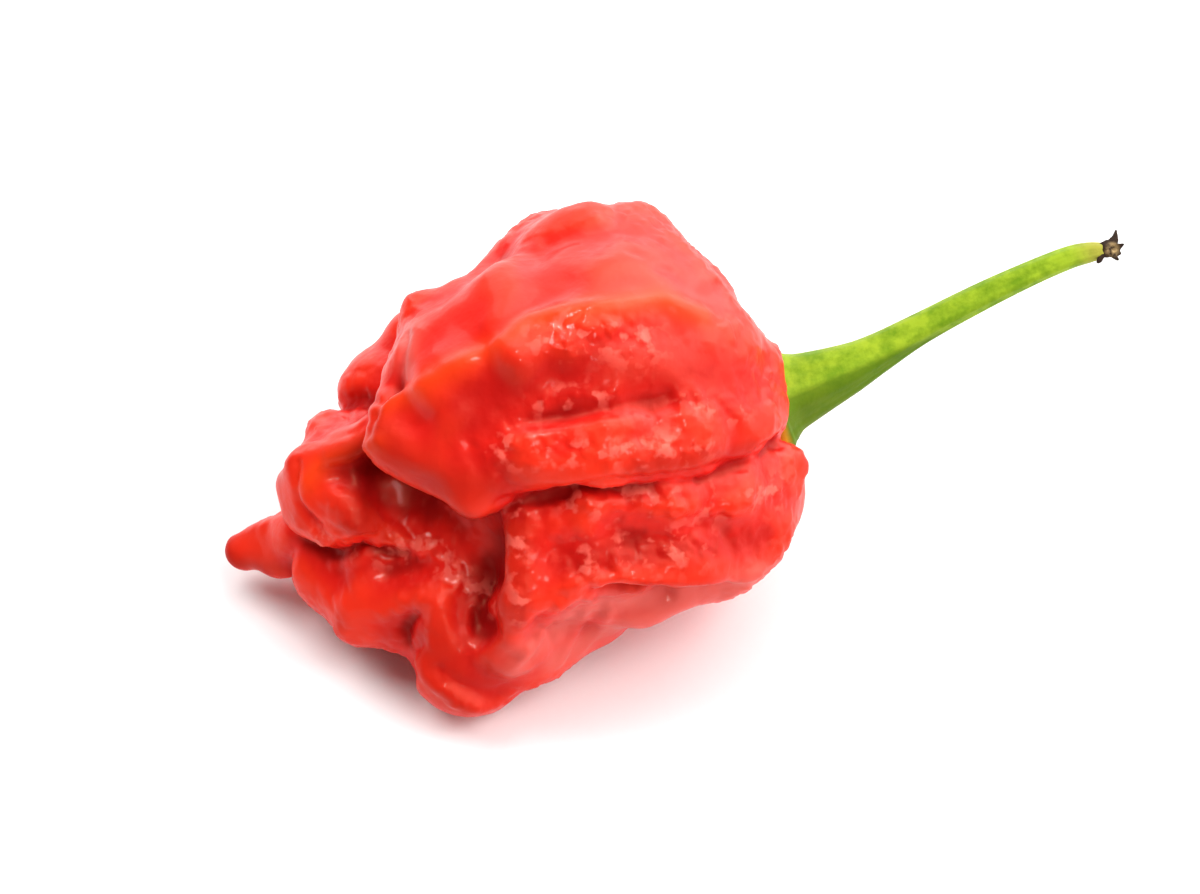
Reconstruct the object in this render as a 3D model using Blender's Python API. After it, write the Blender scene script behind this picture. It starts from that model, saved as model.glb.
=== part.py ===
"""A ripe, wrinkled hot pepper of the reaper kind, lying on a table with its stem and calyx.

The fruit is a distance field of melted ridges, drawn in the pod's own axes in millimetres: x from the
tail to the stem, y across the show face, and z out of the show face. An empty leans those axes back so
that the pod lies on the table, which is z = 0 in the finished model. The stem is a loft that starts as
the calyx, in a dished seat of the fruit, and ends at a dried stub.
"""

import math

import bpy
import numpy as np
from mathutils import Vector

MM = 0.001
GAP = 0.3

# The pose on the table: leaned back about x, then turned about z, with the table this far below the axes
LEAN = math.radians(40)
YAW = math.radians(-12.4)
TABLE_DROP = 17.65
TABLE_UP = np.array([0.0, math.sin(LEAN), math.cos(LEAN)])

# The mesh of the fruit
FRUIT_CELL = 1.25
FRUIT_LOW = (-33.0, -27.0, -25.0)
FRUIT_HIGH = (25.0, 26.0, 22.0)
RELAX_STEPS = 3
RELAX_SHARE = 0.5
SLOPE_STEP = 0.05
LEAST_STEEPNESS = 0.25
JUST_INSIDE = -1e-3

# How softly things melt together
RUN_BLEND = 1.2
RIDGE_BLEND = 3.4
LOBE_BLEND = 0.8
CORE_BLEND = 1.6
CARVE_BLEND = 2.0
SEAT_BLEND = 0.7

# The unevenness of the skin
WAVE_SEED = 7
WAVE_COUNT = 14
WARP_LENGTH = 8.0
WARP_DEPTH = 0.22
BUMP_LENGTH = 5.0
BUMP_DEPTH = 0.1

# A run is a list of balls, each (x, y, z, radius), and a lobe is a list of runs melted together
CORE = [
    [(-17, -6, -6, 5), (-9, -3.5, -4, 8), (1, -1, -3, 12), (7.2, 1.5, -4, 11.6), (10.3, 2.5, -4.5, 9.6)],
    [(-14, -4.5, -1, 4.6), (-9, -2, 2, 6), (-2, -4.5, 4, 5.4), (6, -3.5, 4, 5.5)],
]
LOBES = {
    "upper": [
        [(-8.5, 7, 5, 5.5), (-4, 8.5, 4, 7.8), (3.3, 9.4, 1.3, 10.7), (6.8, 8.4, 0, 9.8),
         (12, 4.6, -2.5, 7.5)],
        [(-7.1, 11.4, 1, 3.4), (-0.7, 13.7, -1, 6.6), (3.4, 12.5, -1, 9.4), (6.6, 10.0, -2, 8.5)],
        [(-14.2, 1.4, 9, 1.5), (-10.5, 5.2, 12.0, 1.7), (-4.5, 9, 13.9, 1.8), (3, 11.3, 13.8, 1.9),
         (9, 11.6, 10.3, 3.0), (13.4, 9.8, 5.0, 3.6)],
        [(-9, 7.5, 8, 3.6), (-4, 10.8, 8.6, 4.2), (4, 12.8, 7.4, 4.6), (10, 12, 4.2, 4.2)],
        [(-9.5, 4.6, 10.0, 2.9), (-4, 7.6, 10.2, 3.6), (2, 8.9, 9.9, 3.8), (8, 9.0, 8.0, 4.2)],
        [(-7.2, -2.3, 10.5, 2.6), (-3, -0.6, 12, 3.0), (4, 0.2, 12.1, 3.2), (11, 1.2, 9.6, 3.5),
         (15, 2.3, 6, 3.6), (15.4, 3.4, 1.5, 3.6)],
        [(-14.2, 1.2, 9, 1.6), (-12.6, -0.8, 8.9, 2.2), (-10.2, -3.0, 9.4, 2.4), (-7.8, -3.0, 10.2, 2.5)],
        [(-10.5, 11, 2, 3.2), (-12.7, 7, 5.5, 2.3), (-14.2, 1.8, 8.5, 1.8)],
        [(-11.4, 1.7, 8.9, 3.4), (-8.4, 2.6, 9.6, 4.0), (-4, 4.0, 9.2, 4.6), (3, 5.2, 8.2, 5.4),
         (9, 5.6, 6.9, 5.2)],
        [(6, 8.6, 7.2, 5.0), (10, 8.2, 6.2, 5.0), (13, 6.8, 4.4, 4.8), (15.2, 5.6, 1.8, 4.3),
         (15.8, 5.2, -0.6, 4.2)],
    ],
    "lower right": [
        [(1.5, -9, 2.8, 5.6), (7, -8.2, 2, 6.8), (13, -6.3, -0.8, 6.6), (17.3, -4.0, -2.0, 4.5)],
        [(-3.0, -6.5, 8, 2), (3, -5.5, 9.5, 2.2), (9.5, -4.3, 8.5, 2.6), (15, -3.1, 5, 3.1),
         (17.8, -2.6, 1, 3.5)],
        [(-3.7, -8.5, 8.2, 2.1), (-3.8, -12.5, 7.6, 2.3), (-4.6, -17, 3.8, 2.8), (-6.8, -20, -1, 3.4)],
        [(-2, -11.8, 7.0, 2.1), (1.5, -11.8, 7.0, 1.8), (7, -11.7, 6.8, 1.8), (13, -10.4, 4.8, 1.8),
         (17, -7.5, 1, 2.8)],
        [(-1.4, -9.8, 5.4, 3.0), (2.2, -10, 4.6, 3.9), (7.5, -9.8, 4.0, 4.3)],
        [(-2, -17, -1, 3.5), (3, -12.6, -2.5, 4.1), (9, -9.8, -3, 4.2), (14.0, -6.9, -3.5, 3.5)],
    ],
    "lower left": [
        [(-8.9, -19.3, 0, 4.6), (-10.6, -15.8, 0, 4.4), (-10.8, -12.2, -0.8, 3.8), (-9, -9, -2, 4)],
        [(-17.2, -13.7, -2.5, 4.1), (-20.5, -10.9, -5, 3.3), (-16, -9.5, -2.2, 3.7), (-11, -10, -2, 4.0)],
        [(-8.2, -8.6, 0.6, 3.0), (-7.4, -12.8, 0.6, 3.0), (-7, -17, -0.2, 3.2)],
    ],
    "knob": [
        [(-20.9, -4.0, -1.5, 4.4), (-19.7, 0.1, -2.5, 3.3), (-15.5, 0.7, -1, 3.4), (-11, 2, 1, 4)],
        [(-22.6, -1.6, 1.2, 1.4), (-19.8, -0.2, 3.6, 1.5), (-15.8, 1.6, 4.8, 1.8), (-12.5, 2.6, 4.5, 2.2)],
        [(-21, -4.6, 2, 2), (-18.5, -5.4, 3.2, 2.4), (-15.6, -6.2, 2.5, 1.9)],
    ],
    "back left": [
        [(-18.1, 5.5, -5.5, 2.0), (-16.1, 6.9, -5, 2.3), (-13.2, 9.6, -5, 2.8), (-8.6, 9.3, -5, 5)],
        [(-15, 3.8, -4, 3.4), (-11, 6, -1, 3.8)],
    ],
    "back": [
        [(-6, 10.5, -8, 5), (3.6, 11.4, -9.6, 6.2), (9.6, 7.8, -8.6, 6)],
        [(-4, 7, -12.6, 5), (4, 7, -14, 5.6), (11, 5, -11, 5.4)],
    ],
    "under": [
        [(-14, 1, -9, 5), (-4, 1.5, -13.3, 7), (5, 0.4, -14.4, 7), (11.4, 1, -12, 6)],
    ],
    "belly": [
        [(-13, -6.5, -8, 5), (-3, -9.5, -6.6, 7), (6, -7.6, -8, 6.7), (12, -5.8, -8.6, 5.9)],
    ],
    "tail": [
        [(-18.5, -7, -4.5, 3.4), (-23, -7.5, -6.5, 2.9), (-26, -8.6, -8.8, 2.2), (-28.8, -9.7, -10, 1.75)],
    ],
}
CARVED = [
    [(-15.0, -1.2, 5.6, 2.0), (-12.8, -4.4, 5.8, 2.7), (-10.0, -7.2, 7.6, 2.9), (-7.8, -8.6, 8.6, 2.7),
     (-7.2, -11.5, 7.4, 2.3), (-7.4, -15.5, 5.4, 1.8)],
    [(-14.5, -19.3, 0.8, 1.7), (-14.0, -16.6, 3.3, 1.3), (-13.2, -14.4, 4.8, 0.9)],
    [(-1.5, -17.2, 7.2, 2.2), (3, -15.9, 7.2, 2.5), (9, -15.0, 6.6, 2.4), (15, -13.4, 4.4, 1.9)],
]

# The calyx sits on the fruit like a shallow ball in a dish
CALYX_BASE = np.array([19.4, 4.9, -4.0])
CALYX_AXIS = np.array([0.97, 0.243, 0.0])
SEAT_RADIUS = 9.0
SEAT_DEPTH = 1.9
SEAT_CENTRE = CALYX_BASE + (SEAT_RADIUS - SEAT_DEPTH) * CALYX_AXIS
CALYX_RADIUS = 4.6
CALYX_DISH_RINGS = 3

# The stem's line as balls (x, y, z, radius) from the calyx rim to its tip, with five ribs along it
STEM_LINE = [
    (19.42, 4.9, -4.0, 4.64), (19.8, 5.05, -4.0, 4.25), (20.6, 5.35, -4.0, 3.72), (22.3, 5.92, -4.0, 3.08),
    (25.9, 7.4, -4.0, 2.3), (28.6, 8.78, -4.1, 1.8), (32.5, 11.0, -4.2, 1.42), (38.1, 13.9, -4.3, 1.24),
    (42.6, 16.0, -4.4, 1.1), (45.9, 17.35, -4.5, 1.02), (47.8, 17.85, -4.6, 0.92), (49.1, 18.05, -4.6, 0.7),
]
STEM_SIDES = 20
STEM_RINGS_PER_STRETCH = 3
STEM_RIBS = 5
RIB_SHARE = 0.055
RIB_TURN_PER_MM = 0.012
TOOTH_SHARE = 0.06

# The dried end: a stub with a horn, a chip and a spur, as runs of balls
DRIED_CELL = 0.22
DRIED_BLEND = 0.3
DRIED_LOW = (48.6, 15.8, -6.4)
DRIED_HIGH = (51.8, 20.8, -2.8)
DRIED_END = [
    [(49.97, 18.15, -4.6, 0.62), (50.35, 18.2, -4.6, 0.62)],
    [(50.05, 18.5, -4.7, 0.5), (50.25, 19.2, -4.8, 0.36), (50.35, 19.6, -4.8, 0.3)],
    [(50.4, 18.2, -4.4, 0.45), (50.75, 18.5, -4.1, 0.3)],
    [(50.1, 17.8, -4.5, 0.42), (50.3, 17.35, -4.3, 0.3)],
    [(50.2, 18.1, -5.1, 0.4), (50.5, 17.9, -5.5, 0.3)],
]

# The colour of each piece in linear light, and its roughness
FRUIT_COLOUR = (0.76, 0.028, 0.02)
FRUIT_ROUGHNESS = 0.28
STEM_COLOUR = (0.36, 0.53, 0.04)
STEM_ROUGHNESS = 0.45
DRIED_COLOUR = (0.16, 0.085, 0.035)
DRIED_ROUGHNESS = 0.8


def waves(points, length, seed, count=WAVE_COUNT):
    """A smooth random field about -1 to 1, with hills about this long, as a sum of plane waves."""
    random = np.random.default_rng(seed)
    directions = random.normal(size=(count, 3))
    directions *= (2 * math.pi / length) / np.linalg.norm(directions, axis=1, keepdims=True)
    phases = random.uniform(0, 2 * math.pi, count)
    total = np.zeros(len(points))
    for direction, phase in zip(directions, phases):
        total += np.sin(points @ direction + phase)
    return total * math.sqrt(2 / count)


def melt(first, second, blend):
    """The union of two distances, rounded where they cross."""
    near = np.maximum(blend - np.abs(first - second), 0) / blend
    return np.minimum(first, second) - near * near * blend / 4


def run_distance(points, balls):
    """The distance to a run of balls, each joined to the next by a cone."""
    best = None
    for first, second in zip(balls, balls[1:]):
        start = np.array(first[:3], float)
        along = np.array(second[:3], float) - start
        share = np.clip((points - start) @ along / (along @ along), 0, 1)
        radius = first[3] + share * (second[3] - first[3])
        gap = np.linalg.norm(points - start - share[:, None] * along, axis=1) - radius
        best = gap if best is None else melt(best, gap, RUN_BLEND)
    return best


def melt_all(points, runs, blend):
    total = run_distance(points, runs[0])
    for balls in runs[1:]:
        total = melt(total, run_distance(points, balls), blend)
    return total


def fruit_field(points):
    """Below zero inside the fruit, in the pod's own axes."""
    warp = np.stack([waves(points, WARP_LENGTH, WAVE_SEED + axis) for axis in range(3)], axis=1)
    warped = points + WARP_DEPTH * warp
    fruit = melt_all(warped, CORE, RIDGE_BLEND)
    lobes = [melt_all(warped, runs, RIDGE_BLEND) for runs in LOBES.values()]
    together = lobes[0]
    for lobe in lobes[1:]:
        together = melt(together, lobe, LOBE_BLEND)
    fruit = melt(fruit, together, CORE_BLEND)
    for balls in CARVED:
        fruit = -melt(-fruit, run_distance(warped, balls), CARVE_BLEND)
    fruit += BUMP_DEPTH * waves(warped, BUMP_LENGTH, WAVE_SEED + 3)
    seat = np.linalg.norm(points - SEAT_CENTRE, axis=1) - SEAT_RADIUS
    return -melt(-fruit, seat, SEAT_BLEND)


def dried_field(points):
    """Below zero inside the dried end of the stem, in the pod's own axes."""
    return melt_all(points, DRIED_END, DRIED_BLEND)


def fill_alternating_squares(values):
    """Fills the outer corners of the lattice squares whose corners alternate; true if there were any."""
    found = False
    for axis in range(3):
        turned = np.moveaxis(values, axis, 2)
        corners = [turned[:-1, :-1], turned[1:, :-1], turned[1:, 1:], turned[:-1, 1:]]
        inside = [corner < 0 for corner in corners]
        alternate = (inside[0] == inside[2]) & (inside[1] == inside[3]) & (inside[0] != inside[1])
        for corner in corners:
            corner[alternate & (corner >= 0)] = JUST_INSIDE
        found = found or bool(alternate.any())
    return found


def fill_pierced_cells(values):
    """Fills the lattice cells with just two opposite corners inside, or outside; true if there were any."""
    ends = (slice(None, -1), slice(1, None))
    corners = [values[ends[i], ends[j], ends[k]] for i in (0, 1) for j in (0, 1) for k in (0, 1)]
    inside = np.stack([corner < 0 for corner in corners])
    count = inside.sum(axis=0)
    pierced = np.zeros_like(inside[0])
    for k in range(4):
        pierced |= inside[k] & inside[7 - k] & (count == 2)
        pierced |= ~inside[k] & ~inside[7 - k] & (count == 6)
    for corner in corners:
        corner[pierced & (corner >= 0)] = JUST_INSIDE
    return bool(pierced.any())


def without_pinches(values):
    """The values filled where the net would otherwise touch itself along an edge or at a point."""
    values = values.copy()
    while fill_alternating_squares(values) or fill_pierced_cells(values):
        continue
    return values


def surface_net(field, low, high, cell):
    """(points, quads) of the surface where the field is zero, one point to each lattice cell it crosses."""
    sides = [np.arange(start, end + cell, cell) for start, end in zip(low, high)]
    lattice = np.stack(np.meshgrid(*sides, indexing="ij"), axis=-1)
    values = without_pinches(field(lattice.reshape(-1, 3)).reshape(lattice.shape[:3]))
    shape = values.shape
    total = np.zeros((values.size, 3))
    count = np.zeros(values.size)
    steps = np.array([shape[1] * shape[2], shape[2], 1])
    quads = []
    for axis in range(3):
        start = [slice(None)] * 3
        end = [slice(None)] * 3
        start[axis] = slice(0, -1)
        end[axis] = slice(1, None)
        crossing = np.argwhere((values[tuple(start)] < 0) != (values[tuple(end)] < 0))
        here = values[tuple(crossing.T)]
        ahead = crossing.copy()
        ahead[:, axis] += 1
        share = here / (here - values[tuple(ahead.T)])
        place = lattice[tuple(crossing.T)].copy()
        place[:, axis] += share * cell
        first, second = steps[(axis + 1) % 3], steps[(axis + 2) % 3]
        base = crossing @ steps
        around = np.stack([base, base - first, base - first - second, base - second], axis=1)
        for k in range(4):
            np.add.at(total, around[:, k], place)
            np.add.at(count, around[:, k], 1)
        quads.append(np.where((here < 0)[:, None], around, around[:, ::-1]))
    quads = np.concatenate(quads)
    used, index = np.unique(quads, return_inverse=True)
    return total[used] / count[used, None], index.reshape(-1, 4)


def neighbours_mean(points, quads):
    """The mean of each point's neighbours along the edges of the quads."""
    total = np.zeros_like(points)
    count = np.zeros(len(points))
    for k in range(4):
        for other in (quads[:, (k + 1) % 4], quads[:, k - 1]):
            np.add.at(total, quads[:, k], points[other])
            np.add.at(count, quads[:, k], 1)
    return total / count[:, None]


def onto_surface(field, points, most):
    """The points moved along the field's slope to where it is zero, by this much at most."""
    here = field(points)
    slope = np.empty_like(points)
    for axis in range(3):
        step = np.zeros(3)
        step[axis] = SLOPE_STEP
        slope[:, axis] = (field(points + step) - here) / SLOPE_STEP
    steepness = np.maximum((slope * slope).sum(axis=1), LEAST_STEEPNESS)
    return points - np.clip(here / steepness, -most, most)[:, None] * slope


def skin_of(field, low, high, cell):
    """(points, quads) of a field's surface, evenly spread and lying on it."""
    points, quads = surface_net(field, low, high, cell)
    for _ in range(RELAX_STEPS):
        points += RELAX_SHARE * (neighbours_mean(points, quads) - points)
        points = onto_surface(field, points, cell / 2)
    return points, quads


def kept_above_table(points):
    """What would sink into the table is pressed flat on it."""
    height = points @ TABLE_UP + TABLE_DROP
    return points - np.minimum(height, 0)[:, None] * TABLE_UP


def smooth_line(stations):
    """A smooth curve through the stations: rows of x, y, z and radius, some to each stretch."""
    stations = np.array(stations, float)
    ends = np.vstack([2 * stations[0] - stations[1], stations, 2 * stations[-1] - stations[-2]])
    rows = []
    for k in range(1, len(stations)):
        before, start, end, after = ends[k - 1 : k + 3]
        for share in np.arange(STEM_RINGS_PER_STRETCH) / STEM_RINGS_PER_STRETCH:
            bend = (end - before) * share
            bend += (2 * before - 5 * start + 4 * end - after) * share**2
            bend += (3 * start - before - 3 * end + after) * share**3
            rows.append(start + bend / 2)
    rows.append(stations[-1])
    return np.array(rows)


def ring(centre, direction, radius, turn, ripple, count):
    """The points round one cross-section of the stem, with this many ripples of this share round it."""
    across = np.cross(direction, (0.0, 0.0, 1.0))
    across /= np.linalg.norm(across)
    other = np.cross(direction, across)
    angles = np.arange(STEM_SIDES) * 2 * math.pi / STEM_SIDES
    radii = radius * (1 + ripple * np.cos(count * (angles - turn)))
    return centre + (radii * np.cos(angles))[:, None] * across + (radii * np.sin(angles))[:, None] * other


def calyx_dish_rings():
    """The rings of the calyx's underside, a gap above the seat, from its middle outwards."""
    ball = SEAT_RADIUS - GAP
    for k in range(1, CALYX_DISH_RINGS + 1):
        radius = CALYX_RADIUS * k / CALYX_DISH_RINGS
        centre = SEAT_CENTRE - math.sqrt(ball * ball - radius * radius) * CALYX_AXIS
        yield ring(centre, CALYX_AXIS, radius, 0, TOOTH_SHARE * k / CALYX_DISH_RINGS, STEM_RIBS)


def stem_rings():
    """The rings of the outside of the calyx and stem, from the rim to the tip."""
    rows = smooth_line(STEM_LINE)
    along = np.gradient(rows[:, :3], axis=0)
    along[0] = CALYX_AXIS
    along /= np.linalg.norm(along, axis=1, keepdims=True)
    travelled = np.append(0, np.cumsum(np.linalg.norm(np.diff(rows[:, :3], axis=0), axis=1)))
    for row, direction, length in zip(rows, along, travelled):
        yield ring(row[:3], direction, row[3], RIB_TURN_PER_MM * length, RIB_SHARE, STEM_RIBS)


def loft(rings, first_pole, last_pole):
    """(points, faces) of a closed skin over the rings, with a fan at each end."""
    points = [first_pole, *np.concatenate(rings), last_pole]
    faces = []
    for k in range(STEM_SIDES):
        after = (k + 1) % STEM_SIDES
        faces.append((0, 1 + after, 1 + k))
        for row in range(len(rings) - 1):
            low = 1 + row * STEM_SIDES
            high = low + STEM_SIDES
            faces.append((low + k, low + after, high + after, high + k))
        last = 1 + (len(rings) - 1) * STEM_SIDES
        faces.append((last + k, last + after, len(points) - 1))
    return np.array(points), faces


def make_material(name, colour, roughness):
    material = bpy.data.materials.new(name)
    material.use_nodes = True
    shader = material.node_tree.nodes["Principled BSDF"]
    shader.inputs["Base Color"].default_value = (*colour, 1)
    shader.inputs["Roughness"].default_value = roughness
    shader.inputs["Metallic"].default_value = 0
    material.diffuse_color = (*colour, 1)
    return material


def make_object(name, points, faces, material, parent):
    """An object whose points are given in the pod's axes in millimetres, riding on the leaning empty."""
    mesh = bpy.data.meshes.new(name)
    mesh.from_pydata((points * MM).tolist(), [], [tuple(face) for face in faces])
    mesh.shade_smooth()
    mesh.materials.append(material)
    piece = bpy.data.objects.new(name, mesh)
    piece.parent = parent
    bpy.context.scene.collection.objects.link(piece)
    return piece


def build_fruit(pod):
    points, quads = skin_of(fruit_field, FRUIT_LOW, FRUIT_HIGH, FRUIT_CELL)
    material = make_material("red_skin", FRUIT_COLOUR, FRUIT_ROUGHNESS)
    return make_object("fruit", kept_above_table(points), quads.tolist(), material, pod)


def build_stem(pod):
    rings = [*calyx_dish_rings(), *stem_rings()]
    underside = SEAT_CENTRE - (SEAT_RADIUS - GAP) * CALYX_AXIS
    points, faces = loft(rings, underside, np.array(STEM_LINE[-1][:3]))
    material = make_material("green_stem", STEM_COLOUR, STEM_ROUGHNESS)
    return make_object("stem", points, faces, material, pod)


def build_dried_end(pod):
    points, quads = skin_of(dried_field, DRIED_LOW, DRIED_HIGH, DRIED_CELL)
    material = make_material("dry_bark", DRIED_COLOUR, DRIED_ROUGHNESS)
    return make_object("dried_stem_end", points, quads.tolist(), material, pod)


def centre_over_origin(pod, pieces):
    """Slides the whole pod level so that the middle of its box is over the origin."""
    bpy.context.view_layer.update()
    corners = [piece.matrix_world @ vertex.co for piece in pieces for vertex in piece.data.vertices]
    for axis in range(2):
        along = [corner[axis] for corner in corners]
        pod.location[axis] -= (min(along) + max(along)) / 2


def main():
    for old in list(bpy.data.objects):
        bpy.data.objects.remove(old)
    pod = bpy.data.objects.new("pod_axes", None)
    pod.rotation_euler = (LEAN, 0, YAW)
    pod.location = Vector((0, 0, TABLE_DROP * MM))
    bpy.context.scene.collection.objects.link(pod)
    centre_over_origin(pod, [build_fruit(pod), build_stem(pod), build_dried_end(pod)])


if __name__ == "__main__":
    main()
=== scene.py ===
"""The looks of a ripe, wrinkled red hot pepper that lies on a white table.

The fruit repeats the solid's field of melted ridges on a finer lattice, then adds creases, ridges,
pimples and beads along its normals. Lengths are in the pod's own axes in millimetres, the same as in
the solid's source: x from the tail to the stem, y across the show face, z out of the show face. Lights,
noise and the table are in metres.
"""

import math

import bpy
import numpy as np
from mathutils import Matrix, Vector, kdtree


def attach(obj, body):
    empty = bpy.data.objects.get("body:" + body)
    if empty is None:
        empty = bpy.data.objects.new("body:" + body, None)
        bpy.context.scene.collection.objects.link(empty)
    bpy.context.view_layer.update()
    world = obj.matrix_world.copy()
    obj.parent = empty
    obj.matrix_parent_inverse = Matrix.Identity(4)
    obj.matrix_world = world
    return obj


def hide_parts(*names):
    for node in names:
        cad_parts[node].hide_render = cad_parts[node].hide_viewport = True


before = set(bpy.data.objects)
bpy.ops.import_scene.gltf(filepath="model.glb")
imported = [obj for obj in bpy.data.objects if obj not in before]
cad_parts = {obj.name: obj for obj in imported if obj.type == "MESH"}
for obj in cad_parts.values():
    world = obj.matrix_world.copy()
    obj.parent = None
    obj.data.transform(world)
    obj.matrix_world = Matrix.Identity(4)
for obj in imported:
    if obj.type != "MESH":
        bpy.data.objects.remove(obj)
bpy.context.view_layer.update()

MM = 0.001

# The pose on the table, as in the solid's source
LEAN = math.radians(40)
YAW = math.radians(-12.4)
TABLE_DROP = 17.65
TABLE_UP = np.array([0.0, math.sin(LEAN), math.cos(LEAN)])
POD_SHIFT = (-11.772, -1.503)

# The lattice of the fruit's skin: finer than the solid's, and worked out only in blocks near the skin
SKIN_CELL = 0.31
BLOCK = 4
FRUIT_LOW = (-33.0, -27.0, -25.0)
FRUIT_HIGH = (25.0, 26.0, 22.0)
RELAX_STEPS = 3
RELAX_SHARE = 0.5
SLOPE_STEP = 0.05
LEAST_STEEPNESS = 0.25
JUST_INSIDE = -1e-3
FAR_FROM_SKIN = 5.0
BLOCK_MARGIN = 0.8

# How softly things melt together
RUN_BLEND = 1.2
RIDGE_BLEND = 3.4
LOBE_BLEND = 0.8
CORE_BLEND = 1.6
CARVE_BLEND = 2.0
SEAT_BLEND = 0.7

# The unevenness of the skin
WAVE_SEED = 7
WAVE_COUNT = 14
WARP_LENGTH = 8.0
WARP_DEPTH = 0.22
BUMP_LENGTH = 5.0
BUMP_DEPTH = 0.1

# A run is a list of balls, each (x, y, z, radius), and a lobe is a list of runs melted together
CORE = [
    [(-17, -6, -6, 5), (-9, -3.5, -4, 8), (1, -1, -3, 12), (7.2, 1.5, -4, 11.6), (10.3, 2.5, -4.5, 9.6)],
    [(-14, -4.5, -1, 4.6), (-9, -2, 2, 6), (-2, -4.5, 4, 5.4), (6, -3.5, 4, 5.5)],
]
LOBES = {
    "upper": [
        [(-8.5, 7, 5, 5.5), (-4, 8.5, 4, 7.8), (3.3, 9.4, 1.3, 10.7), (6.8, 8.4, 0, 9.8),
         (12, 4.6, -2.5, 7.5)],
        [(-7.1, 11.4, 1, 3.4), (-0.7, 13.7, -1, 6.6), (3.4, 12.5, -1, 9.4), (6.6, 10.0, -2, 8.5)],
        [(-14.2, 1.4, 9, 1.5), (-10.5, 5.2, 12.0, 1.7), (-4.5, 9, 13.9, 1.8), (3, 11.3, 13.8, 1.9),
         (9, 11.6, 10.3, 3.0), (13.4, 9.8, 5.0, 3.6)],
        [(-9, 7.5, 8, 3.6), (-4, 10.8, 8.6, 4.2), (4, 12.8, 7.4, 4.6), (10, 12, 4.2, 4.2)],
        [(-9.5, 4.6, 10.0, 2.9), (-4, 7.6, 10.2, 3.6), (2, 8.9, 9.9, 3.8), (8, 9.0, 8.0, 4.2)],
        [(-7.2, -2.3, 10.5, 2.6), (-3, -0.6, 12, 3.0), (4, 0.2, 12.1, 3.2), (11, 1.2, 9.6, 3.5),
         (15, 2.3, 6, 3.6), (15.4, 3.4, 1.5, 3.6)],
        [(-14.2, 1.2, 9, 1.6), (-12.6, -0.8, 8.9, 2.2), (-10.2, -3.0, 9.4, 2.4), (-7.8, -3.0, 10.2, 2.5)],
        [(-10.5, 11, 2, 3.2), (-12.7, 7, 5.5, 2.3), (-14.2, 1.8, 8.5, 1.8)],
        [(-11.4, 1.7, 8.9, 3.4), (-8.4, 2.6, 9.6, 4.0), (-4, 4.0, 9.2, 4.6), (3, 5.2, 8.2, 5.4),
         (9, 5.6, 6.9, 5.2)],
        [(6, 8.6, 7.2, 5.0), (10, 8.2, 6.2, 5.0), (13, 6.8, 4.4, 4.8), (15.2, 5.6, 1.8, 4.3),
         (15.8, 5.2, -0.6, 4.2)],
    ],
    "lower right": [
        [(1.5, -9, 2.8, 5.6), (7, -8.2, 2, 6.8), (13, -6.3, -0.8, 6.6), (17.3, -4.0, -2.0, 4.5)],
        [(-3.0, -6.5, 8, 2), (3, -5.5, 9.5, 2.2), (9.5, -4.3, 8.5, 2.6), (15, -3.1, 5, 3.1),
         (17.8, -2.6, 1, 3.5)],
        [(-3.7, -8.5, 8.2, 2.1), (-3.8, -12.5, 7.6, 2.3), (-4.6, -17, 3.8, 2.8), (-6.8, -20, -1, 3.4)],
        [(-2, -11.8, 7.0, 2.1), (1.5, -11.8, 7.0, 1.8), (7, -11.7, 6.8, 1.8), (13, -10.4, 4.8, 1.8),
         (17, -7.5, 1, 2.8)],
        [(-1.4, -9.8, 5.4, 3.0), (2.2, -10, 4.6, 3.9), (7.5, -9.8, 4.0, 4.3)],
        [(-2, -17, -1, 3.5), (3, -12.6, -2.5, 4.1), (9, -9.8, -3, 4.2), (14.0, -6.9, -3.5, 3.5)],
    ],
    "lower left": [
        [(-8.9, -19.3, 0, 4.6), (-10.6, -15.8, 0, 4.4), (-10.8, -12.2, -0.8, 3.8), (-9, -9, -2, 4)],
        [(-17.2, -13.7, -2.5, 4.1), (-20.5, -10.9, -5, 3.3), (-16, -9.5, -2.2, 3.7), (-11, -10, -2, 4.0)],
        [(-8.2, -8.6, 0.6, 3.0), (-7.4, -12.8, 0.6, 3.0), (-7, -17, -0.2, 3.2)],
    ],
    "knob": [
        [(-20.9, -4.0, -1.5, 4.4), (-19.7, 0.1, -2.5, 3.3), (-15.5, 0.7, -1, 3.4), (-11, 2, 1, 4)],
        [(-22.6, -1.6, 1.2, 1.4), (-19.8, -0.2, 3.6, 1.5), (-15.8, 1.6, 4.8, 1.8), (-12.5, 2.6, 4.5, 2.2)],
        [(-21, -4.6, 2, 2), (-18.5, -5.4, 3.2, 2.4), (-15.6, -6.2, 2.5, 1.9)],
    ],
    "back left": [
        [(-18.1, 5.5, -5.5, 2.0), (-16.1, 6.9, -5, 2.3), (-13.2, 9.6, -5, 2.8), (-8.6, 9.3, -5, 5)],
        [(-15, 3.8, -4, 3.4), (-11, 6, -1, 3.8)],
    ],
    "back": [
        [(-6, 10.5, -8, 5), (3.6, 11.4, -9.6, 6.2), (9.6, 7.8, -8.6, 6)],
        [(-4, 7, -12.6, 5), (4, 7, -14, 5.6), (11, 5, -11, 5.4)],
    ],
    "under": [
        [(-14, 1, -9, 5), (-4, 1.5, -13.3, 7), (5, 0.4, -14.4, 7), (11.4, 1, -12, 6)],
    ],
    "belly": [
        [(-13, -6.5, -8, 5), (-3, -9.5, -6.6, 7), (6, -7.6, -8, 6.7), (12, -5.8, -8.6, 5.9)],
    ],
    "tail": [
        [(-18.5, -7, -4.5, 3.4), (-23, -7.5, -6.5, 2.9), (-26, -8.6, -8.8, 2.2), (-28.8, -9.7, -10, 1.75)],
    ],
}
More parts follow.
